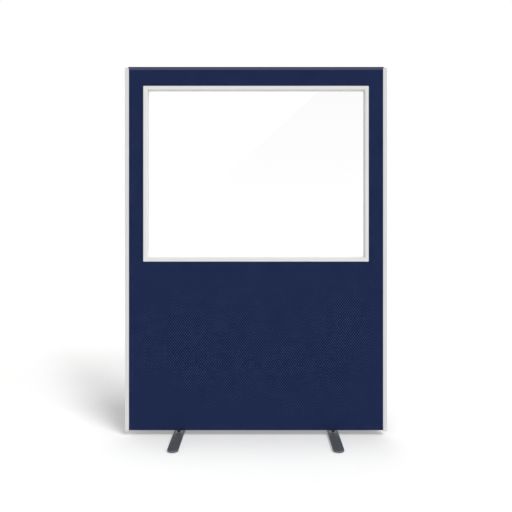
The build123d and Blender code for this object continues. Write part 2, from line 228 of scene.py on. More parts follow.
# Blocks of three warp yarns by four weft yarns pass over each other by turns, with ragged sides.
# Each yarn is round, wanders a little and changes tone along its length, as a mixed wool does.
yarn_pitch = 0.0019
warp_yarns_in_block, weft_yarns_in_block = 3, 4
raggedness = 0.2
wander, wander_scale = 0.0007, 260
yarn_fullness, dip_fullness = 0.7, 0.6
lowest_dip = 0.4
tone_run = 4
yarns_apart = 5.3
warp_seed, weft_seed = 0.5, 40.5
fuzz_scale, mottle_scale, cloud_scale = 2600, 110, 14
least_contrast, mottled_contrast = 0.5, 0.9
tone_spread, tone_offset = 0.5, -0.61
fuzz_height = 0.4
basket_weave, taken, given = start_group(
    "basket_weave",
    [("Vector", "NodeSocketVector", None), ("Pitch", "NodeSocketFloat", yarn_pitch)],
    ["Tone", "Painted gap shade", "Height"],
)
wandering = node(basket_weave, "ShaderNodeTexNoise", {
    "Vector": taken.outputs["Vector"], "Scale": wander_scale, "Detail": 1,
}).outputs["Color"]
wandering = node(basket_weave, "ShaderNodeVectorMath", {
    0: wandering, 1: (0.5, 0.5, 0.5),
}, operation="SUBTRACT").outputs[0]
wandered = node(basket_weave, "ShaderNodeVectorMath", {
    0: wandering, 1: (wander, wander, 0), 2: taken.outputs["Vector"],
}, operation="MULTIPLY_ADD").outputs[0]
across = node(basket_weave, "ShaderNodeSeparateXYZ", {0: wandered}).outputs
warp_at, weft_at = (
    math_node(basket_weave, "DIVIDE", across[i], taken.outputs["Pitch"]) for i in (0, 1)
)


def half_wave(at):
    """0 at each whole number and 1 halfway between two, rounded as a yarn is."""
    part = math_node(basket_weave, "FRACT", at)
    return math_node(basket_weave, "SINE", math_node(basket_weave, "MULTIPLY", part, math.pi))


def yarn_round(yarn_at, block_at):
    """The height of yarns side by side, which dip where they pass under at a block's ends."""
    rise = math_node(basket_weave, "POWER", half_wave(block_at), dip_fullness)
    return math_node(
        basket_weave, "MULTIPLY",
        math_node(basket_weave, "POWER", half_wave(yarn_at), yarn_fullness),
        math_node(basket_weave, "MULTIPLY_ADD", rise, 1 - lowest_dip, lowest_dip),
    )


def yarn_tone(yarn_at, along, seed):
    """The tone of each yarn, which drifts along its length and starts afresh at the next."""
    yarn_number = math_node(basket_weave, "FLOOR", yarn_at)
    spot = node(basket_weave, "ShaderNodeCombineXYZ", {
        0: math_node(basket_weave, "MULTIPLY", yarn_number, yarns_apart),
        1: math_node(basket_weave, "DIVIDE", along, tone_run), 2: seed,
    })
    drift = node(basket_weave, "ShaderNodeTexNoise", {
        "Vector": spot.outputs[0], "Scale": 1, "Detail": 3, "Roughness": 0.65,
    })
    return node(basket_weave, "ShaderNodeMapRange", {
        "Value": drift.outputs[0], "From Min": 0.3, "From Max": 0.7,
    }).outputs[0]


def ragged_block(at, yarns_in_block, crossing_at):
    """The place among the blocks, which each crossing yarn sets a little further on."""
    chance = node(basket_weave, "ShaderNodeTexWhiteNoise", {
        "W": math_node(basket_weave, "FLOOR", crossing_at),
    }, noise_dimensions="1D").outputs["Value"]
    steady = math_node(basket_weave, "DIVIDE", at, yarns_in_block)
    return math_node(basket_weave, "MULTIPLY_ADD", chance, raggedness, steady)


block_x = ragged_block(warp_at, warp_yarns_in_block, weft_at)
block_y = ragged_block(weft_at, weft_yarns_in_block, warp_at)
block_column = math_node(basket_weave, "FLOOR", block_x)
block_row = math_node(basket_weave, "FLOOR", block_y)
warp_over = math_node(
    basket_weave, "FLOORED_MODULO", math_node(basket_weave, "ADD", block_column, block_row), 2
)
block_chance = node(basket_weave, "ShaderNodeTexWhiteNoise", {
    0: node(basket_weave, "ShaderNodeCombineXYZ", {0: block_column, 1: block_row}).outputs[0],
}).outputs["Value"]


def by_turn(warp_value, weft_value):
    """The warp's value where it passes over, and the weft's elsewhere."""
    inputs = {0: warp_over, 2: weft_value, 3: warp_value}
    return node(basket_weave, "ShaderNodeMix", inputs, data_type="FLOAT").outputs[0]


fuzz, mottle, cloud = (
    node(basket_weave, "ShaderNodeTexNoise", {
        "Vector": taken.outputs["Vector"], "Scale": scale, "Detail": 2,
    }).outputs[0]
    for scale in (fuzz_scale, mottle_scale, cloud_scale)
)
mottle = node(basket_weave, "ShaderNodeMapRange", {
    "Value": mottle, "From Min": 0.32, "From Max": 0.68,
}).outputs[0]
warp_paler = math_node(
    basket_weave, "MULTIPLY", math_node(basket_weave, "SUBTRACT", warp_over, 0.5),
    math_node(basket_weave, "MULTIPLY_ADD", mottle, mottled_contrast, least_contrast),
)
top_yarn = by_turn(yarn_round(warp_at, block_y), yarn_round(weft_at, block_x))
woven_tone = by_turn(
    yarn_tone(warp_at, weft_at, warp_seed), yarn_tone(weft_at, warp_at, weft_seed)
)
for amount, part in (
    (2.4, warp_paler), (0.4, mottle), (0.7, block_chance), (0.3, fuzz), (0.2, cloud)
):
    woven_tone = math_node(basket_weave, "MULTIPLY_ADD", part, amount, woven_tone)
woven_tone = math_node(basket_weave, "MULTIPLY_ADD", woven_tone, tone_spread, tone_offset)
basket_weave.links.new(woven_tone, given.inputs["Tone"])
# The top yarn's height also goes out as the mask for painted shade between the yarns
basket_weave.links.new(top_yarn, given.inputs["Painted gap shade"])
basket_weave.links.new(
    math_node(basket_weave, "MULTIPLY_ADD", fuzz, fuzz_height, top_yarn), given.inputs["Height"]
)

navy_dark, navy_pale = shade(3, 17, 53), shade(64, 80, 124)
# Between the yarns the colour darkens towards a deeper navy: painted shade in the gaps, not a dye
gap_shade_share = 0.6
navy_painted_gap_shade = [level * gap_shade_share for level in navy_dark]
yarn_relief = 0.0004
navy_cloth, tree, shader = start_material("navy_wool_cloth", navy_dark, roughness=0.9)
shader.inputs["Specular IOR Level"].default_value = 0.08
cloth_place = node(tree, "ShaderNodeUVMap", uv_map="cloth_metres").outputs[0]
weave = node(tree, "ShaderNodeGroup", {"Vector": cloth_place}, node_tree=basket_weave)
yarn_colour = blend_colours(tree, weave.outputs["Tone"], navy_dark, navy_pale)
gap_shade_mask = node(tree, "ShaderNodeMapRange", {
    "Value": weave.outputs["Painted gap shade"], "From Min": 0.05, "From Max": 0.6,
})
gap_shaded_colour = node(tree, "ShaderNodeMix", {
    0: gap_shade_mask.outputs[0], 6: (*navy_painted_gap_shade, 1), 7: yarn_colour,
}, data_type="RGBA")
tree.links.new(gap_shaded_colour.outputs[2], shader.inputs["Base Color"])
raise_surface(tree, shader, weave.outputs["Height"], yarn_relief)

cloth_thickness = 0.0009
cloth_rise = 0.0003
cloth_fold_radius = 0.0012
cloth_fold_steps = 4
flange_overlap = 0.012
held_distances = (0, 0.001, 0.0025, 0.005, 0.009)
for face, out in {"front": -1, "back": 1}.items():
    skin_low, skin_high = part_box(f"fabric_{face}")
    face_y = out * max(abs(skin_low.y), abs(skin_high.y))
    turned_to = out * min(abs(skin_low.y), abs(skin_high.y))
    frame_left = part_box(f"window_bezel_{face}_left")[0]
    frame_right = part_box(f"window_bezel_{face}_right")[1]
    trim_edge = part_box("trim_right")[0].x
    cap_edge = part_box("top_cap")[0].z
    fold_z = skin_low.z + cloth_fold_radius

    cloth = bmesh.new()
    bmesh.ops.create_grid(cloth, x_segments=1, y_segments=1, size=0.5)
    upright = Matrix.Rotation(-out * math.pi / 2, 4, "X")
    sized = Matrix.Diagonal((skin_high.x - skin_low.x, 1, skin_high.z - fold_z, 1))
    centred = Matrix.Translation((0, face_y, (skin_high.z + fold_z) / 2))
    bmesh.ops.transform(cloth, matrix=centred @ sized @ upright, verts=cloth.verts)
    for distance in held_distances:
        for x in (frame_left.x - distance, frame_right.x + distance):
            cut_at(cloth, (x, 0, 0), (1, 0, 0))
        for x in (distance - trim_edge, trim_edge - distance):
            cut_at(cloth, (x, 0, 0), (1, 0, 0))
        for z in (
            frame_left.z - distance, frame_right.z + distance,
            cap_edge - distance, fold_z + distance,
        ):
            cut_at(cloth, (0, 0, z), (0, 0, 1))
    opening_low = frame_left + Vector((flange_overlap, 0, flange_overlap))
    opening_high = frame_right - Vector((flange_overlap, 0, flange_overlap))
    for corner in (opening_low, opening_high):
        cut_at(cloth, corner, (1, 0, 0))
        cut_at(cloth, corner, (0, 0, 1))
    in_opening = [
        f for f in cloth.faces
        if opening_low.x < f.calc_center_median().x < opening_high.x
        and opening_low.z < f.calc_center_median().z < opening_high.z
    ]
    bmesh.ops.delete(cloth, geom=in_opening, context="FACES")

    for corner in cloth.verts:
        x, z = corner.co.x, corner.co.z
        beside_frame = max(
            frame_left.x - x, x - frame_right.x, frame_left.z - z, z - frame_right.z
        )
        held = min(beside_frame, trim_edge - abs(x), cap_edge - z, z - fold_z)
        free = min(max(held / held_distances[-1], 0), 1)
        corner.co.y += out * cloth_rise * free * (2 - free)

    lowest = [
        e for e in cloth.edges if all(abs(v.co.z - fold_z) < same_within for v in e.verts)
    ]
    turned = bmesh.ops.spin(
        cloth, geom=lowest, cent=(0, face_y - out * cloth_fold_radius, fold_z), axis=(1, 0, 0),
        dvec=(0, 0, 0), angle=-out * math.pi / 2, steps=cloth_fold_steps, use_duplicate=False,
    )
    hem = [e for e in turned["geom_last"] if isinstance(e, bmesh.types.BMEdge)]
    hem = bmesh.ops.extrude_edge_only(cloth, edges=hem)
    hem_corners = [v for v in hem["geom"] if isinstance(v, bmesh.types.BMVert)]
    for corner in hem_corners:
        corner.co.y = turned_to

    cloth_uv = cloth.loops.layers.uv.new("cloth_metres")
    for f in cloth.faces:
        for loop in f.loops:
            at = loop.vert.co
            loop[cloth_uv].uv = (at.x, at.z - (abs(face_y) - abs(at.y)))

    skin = make_piece(f"cloth_{face}", cloth, navy_cloth)
    thicken = skin.modifiers.new("cloth_thickness", "SOLIDIFY")
    thicken.thickness = cloth_thickness
    thicken.offset = -1
    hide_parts(f"fabric_{face}")


# Side trims: extruded aluminium with a satin grey coat and a linking slot down the outer side,
# pushed over the panel's edges. Drawing through the die leaves faint lines along their length.

# Faint lines and cloudiness of drawn metal, for a coordinate that is squeezed along the length
drawn_lines, taken, given = start_group(
    "drawn_lines", [("Vector", "NodeSocketVector", None)], ["Tone", "Height"]
)
die_lines = node(drawn_lines, "ShaderNodeTexNoise", {
    "Vector": taken.outputs["Vector"], "Scale": 1400, "Detail": 3,
})
drawn_lines.links.new(die_lines.outputs[0], given.inputs["Tone"])
drawn_lines.links.new(die_lines.outputs[0], given.inputs["Height"])
die_line_share = 0.97
die_line_sheen = 0.12
die_line_relief = 0.00002


def coat_metal(name, colour, roughness, stretch, metallic=0.0):
    """Drawn metal under a thin coat, its lines following the direction that is squeezed."""
    material, tree, shader = start_material(name, colour, roughness, metallic)
    lines = node(tree, "ShaderNodeGroup", node_tree=drawn_lines)
    tree.links.new(on_object(tree, stretch), lines.inputs["Vector"])
    darker = [level * die_line_share for level in colour]
    lines_colour = blend_colours(tree, lines.outputs["Tone"], darker, colour)
    tree.links.new(lines_colour, shader.inputs["Base Color"])
    uneven = math_node(
        tree, "MULTIPLY_ADD", lines.outputs["Tone"], die_line_sheen, roughness - die_line_sheen / 2
    )
    tree.links.new(uneven, shader.inputs["Roughness"])
    raise_surface(tree, shader, lines.outputs["Height"], die_line_relief)
    return material


trim_grey = shade(220, 220, 220)
along_trim = 0.004
satin_trim = coat_metal(
    "satin_grey_trim", trim_grey, roughness=0.42, stretch=(1, 1, along_trim)
)
finish_nodes(satin_trim, "trim_left", "trim_right")


# Trim screws: three zinc-plated countersunk wood screws a side, turned and then pressed with a
# cross recess, sunk flush in the slot's floor.

def turned(form, profile, place, steps=48, closed=False):
    """A turned shape in the form: radii and heights carried round an axis, then put in place."""
    older = set(form.verts)
    corners = [form.verts.new((radius, 0, height)) for radius, height in profile]
    following = corners[1:] + corners[:1] if closed else corners[1:]
    lines = [form.edges.new(pair) for pair in zip(corners, following)]
    bmesh.ops.spin(
        form, geom=corners + lines, cent=(0, 0, 0), axis=(0, 0, 1), dvec=(0, 0, 0),
        angle=2 * math.pi, steps=steps, use_merge=True, use_duplicate=False,
    )
    made = [v for v in form.verts if v not in older]
    bmesh.ops.remove_doubles(form, verts=made, dist=merged_within)
    made = [v for v in form.verts if v not in older]
    bmesh.ops.transform(form, matrix=place, verts=made)
    bmesh.ops.recalc_face_normals(form, faces=form.faces)


def take_in(form, part):
    """The part's shape added to the form, after which the part is gone."""
    carrier = bpy.data.meshes.new("carrier")
    part.to_mesh(carrier)
    part.free()
    form.from_mesh(carrier)
    bpy.data.meshes.remove(carrier)


zinc_plate, zinc_tarnish = shade(196, 198, 200), shade(168, 170, 176)
zinc_roughness, tarnish_roughness = 0.2, 0.25
bright_zinc, tree, shader = start_material(
    "zinc_plated_steel", zinc_plate, zinc_roughness, metallic=1.0
)
tarnish = node(tree, "ShaderNodeTexNoise", {"Vector": on_object(tree), "Scale": 320, "Detail": 4})
tree.links.new(
    blend_colours(tree, tarnish.outputs[0], zinc_plate, zinc_tarnish),
    shader.inputs["Base Color"],
)
tree.links.new(
    math_node(tree, "MULTIPLY_ADD", tarnish.outputs[0], tarnish_roughness, zinc_roughness),
    shader.inputs["Roughness"],
)
finish_nodes(bright_zinc, "foot_inserts")

screws_a_side = 3
shank_radius = 0.00175
thread_depth = 0.0003
thread_pitch = 0.0016
tip_length = 0.004
recess_arm, recess_half_width, recess_depth, recess_taper = 0.0017, 0.00042, 0.0012, 0.5
first_turn, turn_between = math.radians(20), math.radians(35)
for side, sign in {"left": -1, "right": 1}.items():
    screws_low, screws_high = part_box(f"trim_screws_{side}")
    head_radius = (screws_high.y - screws_low.y) / 2
    screw_length = screws_high.x - screws_low.x
    face_x = sign * max(abs(screws_low.x), abs(screws_high.x))
    lowest_z = screws_low.z + head_radius
    spacing = (screws_high.z - head_radius - lowest_z) / (screws_a_side - 1)
    profile = [(head_radius, 0), (shank_radius, shank_radius - head_radius)]
    thread_z = -2 * head_radius
    while thread_z - thread_pitch > tip_length - screw_length:
        profile += [
            (shank_radius - thread_depth, thread_z),
            (shank_radius, thread_z - thread_pitch / 2),
        ]
        thread_z -= thread_pitch
    profile += [(shank_radius - thread_depth, tip_length - screw_length), (0, -screw_length)]
    screws = bmesh.new()
    for number in range(screws_a_side):
        one = bmesh.new()
        turned(one, profile, Matrix.Identity(4), steps=32)
        rim = [e for e in one.edges if e.is_boundary]
        arm, half = recess_arm, recess_half_width
        quarter = [(arm, -half), (arm, half), (half, half)]
        cross = [
            one.verts.new(Matrix.Rotation(turn * math.pi / 2, 3, "Z") @ Vector((*p, 0)))
            for turn in range(4) for p in quarter
        ]
        mouth = [one.edges.new(pair) for pair in zip(cross, cross[1:] + cross[:1])]
        bmesh.ops.triangle_fill(one, edges=rim + mouth, use_beauty=True)
        walls = bmesh.ops.extrude_edge_only(one, edges=mouth)["geom"]
        floor_corners = [v for v in walls if isinstance(v, bmesh.types.BMVert)]
        for corner in floor_corners:
            corner.co = (
                corner.co.x * recess_taper, corner.co.y * recess_taper, -recess_depth
            )
        floor_edges = [
            e for e in walls
            if isinstance(e, bmesh.types.BMEdge) and all(v in floor_corners for v in e.verts)
        ]
        bmesh.ops.triangle_fill(one, edges=floor_edges, use_beauty=True)
        bmesh.ops.recalc_face_normals(one, faces=one.faces)
        outward = Matrix.Rotation(sign * math.pi / 2, 4, "Y")
        turn_in = Matrix.Rotation(first_turn + turn_between * number, 4, "Z")
        place = Matrix.Translation((face_x, 0, lowest_z + number * spacing)) @ outward @ turn_in
        bmesh.ops.transform(one, matrix=place, verts=one.verts)
        take_in(screws, one)
    piece = make_piece(f"slot_screws_{side}", screws, bright_zinc)
    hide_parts(f"trim_screws_{side}")


# End caps of the trims, capping and strips: moulded plastic with a fine spark-eroded grain. The
# caps are grey like the trims, the capping along the top is slate blue and its strip dark.

# Fine pebbled grain of moulded plastic and of powder coating
fine_grain, taken, given = start_group(
    "fine_grain",
    [("Vector", "NodeSocketVector", None), ("Scale", "NodeSocketFloat", 2500)],
    ["Tone", "Height"],
)
pebbles = node(fine_grain, "ShaderNodeTexVoronoi", {
    "Vector": taken.outputs["Vector"], "Scale": taken.outputs["Scale"], "Smoothness": 1,
}, feature="SMOOTH_F1")
mottle = node(fine_grain, "ShaderNodeTexNoise", {
    "Vector": taken.outputs["Vector"], "Scale": 60, "Detail": 4,
})
fine_grain.links.new(mottle.outputs[0], given.inputs["Tone"])
fine_grain.links.new(pebbles.outputs["Distance"], given.inputs["Height"])


grain_sheen = 0.16
crisp_from = math.radians(30)


def grained(name, colour, roughness, grain_scale, relief, mottling=0.06, gloss=0.5):
    """Plastic or powder coating with a fine grain and slight mottling of its sheen."""
    material, tree, shader = start_material(name, colour, roughness)
    grain = node(tree, "ShaderNodeGroup", {"Scale": grain_scale}, node_tree=fine_grain)
    tree.links.new(on_object(tree), grain.inputs["Vector"])
    darker = [level * (1 - mottling) for level in colour]
    mottled = blend_colours(tree, grain.outputs["Tone"], darker, colour)
    tree.links.new(mottled, shader.inputs["Base Color"])
    uneven = math_node(
        tree, "MULTIPLY_ADD", grain.outputs["Tone"], grain_sheen, roughness - grain_sheen / 2
    )
    tree.links.new(uneven, shader.inputs["Roughness"])
    shader.inputs["Specular IOR Level"].default_value = gloss
    raise_surface(tree, shader, grain.outputs["Height"], relief)
    return material


def round_edges(form, edges, radius, segments):
    """Those edges rounded to the radius."""
    bmesh.ops.bevel(
        form, geom=edges, offset=radius, offset_type="OFFSET", segments=segments, profile=0.5,
        affect="EDGES", material=-1,
    )


def crisp_edges(form):
    """The edges where two faces meet at more than a slight angle."""
    return [e for e in form.edges if e.calc_face_angle(0) > crisp_from]


def block(low, high):
    """A new form with a box between two corners."""
    form = bmesh.new()
    middle = [(a + b) / 2 for a, b in zip(low, high)]
    across = [abs(b - a) for a, b in zip(low, high)]
    place = Matrix.Translation(middle) @ Matrix.Diagonal((*across, 1))
    bmesh.ops.create_cube(form, size=1, matrix=place)
    return form


def even_shading(piece):
    """Flat faces keep their shading flat up to the roundings beside them."""
    even = piece.modifiers.new("even_shading", "WEIGHTED_NORMAL")
    even.keep_sharp = True


cap_plastic = grained(
    "grey_moulded_cap", shade(214, 214, 214), roughness=0.45, grain_scale=2400, relief=0.00003
)
cap_thickness = 0.004
cap_side_radius = 0.0012
cap_chamfer = 0.003
cap_softening = 0.0003
spigot_inset, spigot_width, spigot_half_depth = 0.0022, 0.0036, 0.0078
for end, up in {"top": 1, "bottom": -1}.items():
    for side, sign in {"left": -1, "right": 1}.items():
        cap_low, cap_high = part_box(f"trim_cap_{end}_{side}")
        end_z = cap_high.z if up > 0 else cap_low.z
        tip_z = cap_low.z if up > 0 else cap_high.z
        joint_z = end_z - up * cap_thickness
        outer_x = sign * max(abs(cap_low.x), abs(cap_high.x))
        cap = block((cap_low.x, cap_low.y, joint_z), (cap_high.x, cap_high.y, end_z))
        upright = [
            e for e in cap.edges if abs(e.verts[0].co.z - e.verts[1].co.z) > cap_thickness / 2
        ]
        round_edges(cap, upright, cap_side_radius, segments=4)
        rim = cut_at(
            cap, (outer_x - sign * cap_chamfer, 0, end_z), (sign, 0, up), clear_outer=True
        )
        bmesh.ops.contextual_create(cap, geom=rim)
        bmesh.ops.recalc_face_normals(cap, faces=cap.faces)
        round_edges(cap, crisp_edges(cap), cap_softening, segments=2)
        spigot_x = outer_x - sign * spigot_inset
        spigot = block(
            (spigot_x - sign * spigot_width, -spigot_half_depth, joint_z),
            (spigot_x, spigot_half_depth, tip_z),
        )
        round_edges(spigot, spigot.edges[:], cap_softening, segments=2)
        take_in(cap, spigot)
        piece = make_piece(f"end_cap_{end}_{side}", cap, cap_plastic)
        even_shading(piece)
        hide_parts(f"trim_cap_{end}_{side}")

slate_capping = grained(
    "slate_blue_capping", shade(70, 76, 104), roughness=0.5, grain_scale=2400, relief=0.00003,
    gloss=0.2,
)
finish_nodes(slate_capping, "top_cap")
dark_strip = grained(
    "dark_cover_strip", shade(42, 44, 62), roughness=0.6, grain_scale=2400, relief=0.00003,
    gloss=0.1,
)
finish_nodes(dark_strip, "top_slot_strip")
black_strip = grained(
    "black_underside_strip", shade(30, 31, 34), roughness=0.6, grain_scale=2400, relief=0.00004
)
finish_nodes(black_strip, "bottom_strip")


# Window frame: hollow bars with a flange that lies on the cloth, a bevel and a leg that holds
# the gasket, mitred at the corners and powder coated near white. The saw leaves each mitre with
# slightly softened edges, which read as a hairline.

near_white = grained(
    "near_white_powder_coat", shade(230, 230, 229), roughness=0.4, grain_scale=1500,
    relief=0.00002, mottling=0.03,
)
flange_width = 0.015
flange_thickness = 0.0022
bevel_width = 0.0046
leg_start = 0.0125
flange_outer_radius = 0.0008
flange_inner_radius = 0.0005
mitre_softening = 0.0003
in_line = 0.999


def in_bar(outer, inward, out, step, depth):
    """A point of a bar's profile, a step in from its outer edge and a depth from the middle."""
    at = outer + inward * step
    at.y = out * depth
    return at


def edges_along(form, points, direction):
    """The edges in line with the direction that pass through one of the points."""
    found = []
    for e in form.edges:
        run = (e.verts[1].co - e.verts[0].co).normalized()
        if abs(run.dot(direction)) > in_line:
            for point in points:
                off = e.verts[0].co - point
                if (off - off.dot(direction) * direction).length < same_within:
                    found.append(e)
    return found


bar_directions = {
    "top": Vector((0, 0, -1)), "bottom": Vector((0, 0, 1)),
    "left": Vector((1, 0, 0)), "right": Vector((-1, 0, 0)),
}
for face, out in {"front": -1, "back": 1}.items():
    for bar, inward in bar_directions.items():
        bar_low, bar_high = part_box(f"window_bezel_{face}_{bar}")
        centre = (bar_low + bar_high) / 2
        half_across = (bar_high.x - bar_low.x if abs(inward.x) else bar_high.z - bar_low.z) / 2
        half_length = (bar_high.z - bar_low.z if abs(inward.x) else bar_high.x - bar_low.x) / 2
        outer = centre - inward * half_across
        front_y = max(abs(bar_low.y), abs(bar_high.y))
        leg_y = min(abs(bar_low.y), abs(bar_high.y))
        sight_line = 2 * half_across
        bevel_y = front_y - bevel_width
        along = inward.cross(Vector((0, out, 0)))
        profile = [in_bar(outer, inward, out, *p) for p in (
            (0, front_y - flange_thickness), (0, front_y), (flange_width, front_y),
            (sight_line, bevel_y), (sight_line, leg_y), (leg_start, leg_y),
            (leg_start, front_y - flange_thickness),
        )]

        rod = bmesh.new()
        corners = [rod.verts.new(p - along * half_length) for p in profile]
        end_face = rod.faces.new(corners)
        pulled = bmesh.ops.extrude_face_region(rod, geom=[end_face])
        far_end = [v for v in pulled["geom"] if isinstance(v, bmesh.types.BMVert)]
        bmesh.ops.translate(rod, verts=far_end, vec=along * 2 * half_length)
        bmesh.ops.recalc_face_normals(rod, faces=rod.faces)
        outer_line, inner_lines = profile[1:2], profile[2:4]
        round_edges(rod, edges_along(rod, outer_line, along), flange_outer_radius, segments=4)
        round_edges(rod, edges_along(rod, inner_lines, along), flange_inner_radius, segments=3)
        for end in (-1, 1):
            corner = outer + along * end * half_length
            mitre = (along * end + inward).normalized()
            rim = cut_at(rod, corner, mitre, clear_outer=True)
            bmesh.ops.contextual_create(rod, geom=rim)
            round_edges(rod, [e for e in rim if e.is_valid], mitre_softening, segments=1)
        bmesh.ops.recalc_face_normals(rod, faces=rod.faces)
        piece = make_piece(f"window_bar_{face}_{bar}", rod, near_white)
        even_shading(piece)
        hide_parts(f"window_bezel_{face}_{bar}")

bare_key = coat_metal(
    "bare_key_metal", shade(190, 192, 195), roughness=0.4, stretch=(1, 1, 1), metallic=1.0
)
finish_nodes(bare_key, "bezel_keys_front", "bezel_keys_back")


# Glazing: a 5 mm clear pane with arrised edges between two pale grey rubber gaskets, standing on
# setting blocks. Lamps shine through it, and the studio shows in it faintly.

gasket_rubber = grained(
    "grey_gasket_rubber", shade(206, 206, 208), roughness=0.7, grain_scale=1800, relief=0.00002
)
finish_nodes(gasket_rubber, "gasket_front", "gasket_back", "setting_blocks")

pane_tint = (0.94, 0.95, 0.945)
clear_glass, tree, shader = start_material("clear_pane", (1, 1, 1), roughness=0.0)
shader.inputs["IOR"].default_value = 1.5
shader.inputs["Transmission Weight"].default_value = 1.0
light_path = node(tree, "ShaderNodeLightPath")
let_through = node(tree, "ShaderNodeBsdfTransparent", {"Color": (*pane_tint, 1)})
pane_surface = node(tree, "ShaderNodeMixShader", {
    0: light_path.outputs["Is Shadow Ray"], 1: shader.outputs[0], 2: let_through.outputs[0],
})
tree.links.new(pane_surface.outputs[0], tree.nodes["Material Output"].inputs["Surface"])
finish_nodes(clear_glass, "window_pane")


# Feet: flat steel bars with round ends, powder coated graphite, each hung on one countersunk
# bolt below a collar and a washer, and standing on two rubber pads. Each one swivels.

graphite_coat = grained(
    "graphite_powder_coat", shade(91, 93, 98), roughness=0.46, grain_scale=1300, relief=0.00006,
    mottling=0.1,
)
black_steel = grained(
    "blackened_steel", shade(46, 46, 48), roughness=0.42, grain_scale=1500, relief=0.00003,
    mottling=0.1,
)
pad_rubber = grained(
    "black_pad_rubber", shade(34, 34, 35), roughness=0.8, grain_scale=1800, relief=0.00005
)
finish_nodes(black_steel, "foot_bolts")

bar_edge_radius = 0.0013
bar_under_radius = 0.0008
bolt_radius = 0.00406
sink_depth = 0.0041
round_end_steps = 24
pad_rounding = 0.0008
pad_groove_radius, pad_groove_width, pad_groove_depth = 0.0105, 0.002, 0.0007
groove_wall_share = 0.3
rounding_share = 0.3
ring_bore = 0.0043


def rim_edges(form, pivot, level, least, most):
    """The form's rim edges at that level whose distance from the pivot is in the range."""
    pivot_at_level = Vector((pivot.x, pivot.y, level))
    return [
        e for e in form.edges
        if all(abs(v.co.z - level) < same_within for v in e.verts) and len(e.link_faces) == 2
        and e.calc_face_angle(0) > crisp_from
        and least < min((v.co - pivot_at_level).length for v in e.verts) < most
    ]


for side in ("left", "right"):
    bar_low, bar_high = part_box(f"foot_bar_{side}")
    pivot = (bar_low + bar_high) / 2
    half_width = (bar_high.x - bar_low.x) / 2
    end_centre = (bar_high.y - bar_low.y) / 2 - half_width

    bar = bmesh.new()
    near, far = (bar.verts.new((half_width, y, 0)) for y in (-end_centre, end_centre))
    bar.edges.new((near, far))
    bmesh.ops.spin(
        bar, geom=[far], cent=(0, end_centre, 0), axis=(0, 0, 1), dvec=(0, 0, 0),
        angle=math.pi, steps=round_end_steps, use_duplicate=False,
    )
    other_half = bmesh.ops.duplicate(bar, geom=bar.verts[:] + bar.edges[:])["geom"]
    turned_half = [v for v in other_half if isinstance(v, bmesh.types.BMVert)]
    bmesh.ops.rotate(
        bar, verts=turned_half, cent=(0, 0, 0), matrix=Matrix.Rotation(math.pi, 3, "Z")
    )
    bmesh.ops.remove_doubles(bar, verts=bar.verts, dist=same_within)
    outline = bar.edges[:]
    hole = bmesh.ops.create_circle(bar, segments=32, radius=bolt_radius)
    hole_rim = {e for v in hole["verts"] for e in v.link_edges}
    bmesh.ops.bridge_loops(bar, edges=outline + list(hole_rim))
    pulled = bmesh.ops.extrude_face_region(bar, geom=bar.faces[:])
    raised = [v for v in pulled["geom"] if isinstance(v, bmesh.types.BMVert)]
    bmesh.ops.translate(bar, verts=raised, vec=(0, 0, bar_high.z - bar_low.z))
    bmesh.ops.translate(bar, verts=bar.verts, vec=(pivot.x, pivot.y, bar_low.z))
    bmesh.ops.recalc_face_normals(bar, faces=bar.faces)

    near_bolt, bar_length = 2 * bolt_radius, bar_high.y - bar_low.y
    upper_rim = rim_edges(bar, pivot, bar_high.z, near_bolt, bar_length)
    round_edges(bar, upper_rim, bar_edge_radius, segments=5)
    lower_rim = rim_edges(bar, pivot, bar_low.z, near_bolt, bar_length)
    round_edges(bar, lower_rim, bar_under_radius, segments=2)
    sunk_rim = rim_edges(bar, pivot, bar_low.z, 0, near_bolt)
    round_edges(bar, sunk_rim, sink_depth, segments=1)
    steel_bar = make_piece(f"steel_bar_{side}", bar, graphite_coat, f"{side}_foot")
    even_shading(steel_bar)
    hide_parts(f"foot_bar_{side}")

    pads_low, pads_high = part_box(f"foot_pads_{side}")
    pad_radius = (pads_high.x - pads_low.x) / 2
    pad_top = pads_high.z
    pads = bmesh.new()
    for pad_y in (pads_low.y + pad_radius, pads_high.y - pad_radius):
        turned(pads, [
            (0, pad_top), (pad_radius - pad_rounding / 2, pad_top),
            (pad_radius, pad_top - pad_rounding / 2), (pad_radius, pad_rounding),
            (pad_radius - pad_rounding * rounding_share, pad_rounding * rounding_share),
            (pad_radius - pad_rounding, 0), (pad_groove_radius + pad_groove_width, 0),
            (pad_groove_radius + pad_groove_width * (1 - groove_wall_share), pad_groove_depth),
            (pad_groove_radius + pad_groove_width * groove_wall_share, pad_groove_depth),
            (pad_groove_radius, 0), (0, 0),
        ], Matrix.Translation((pivot.x, pad_y, 0)))
    rubber_pads = make_piece(f"rubber_pads_{side}", pads, pad_rubber, f"{side}_foot")
    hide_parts(f"foot_pads_{side}")

for node_name, piece_name, finish, slot_name, softening in (
    ("foot_washers", "round_washers", bright_zinc, "zinc_steel", 0.0003),
    ("foot_spacers", "collars", black_steel, "black_steel", 0.0005),
):
    rings_low, rings_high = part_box(node_name)
    ring_radius = (rings_high.y - rings_low.y) / 2
    eased = softening * rounding_share
    rings_form = bmesh.new()
    for pivot_x in (rings_low.x + ring_radius, rings_high.x - ring_radius):
        turned(rings_form, [
            (ring_bore, rings_low.z), (ring_radius - softening, rings_low.z),
            (ring_radius - eased, rings_low.z + eased),
            (ring_radius, rings_low.z + softening), (ring_radius, rings_high.z - softening),
            (ring_radius - eased, rings_high.z - eased),
            (ring_radius - softening, rings_high.z), (ring_bore, rings_high.z),
        ], Matrix.Translation((pivot_x, 0, 0)), steps=64, closed=True)
    piece = make_piece(piece_name, rings_form, finish)
    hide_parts(node_name)


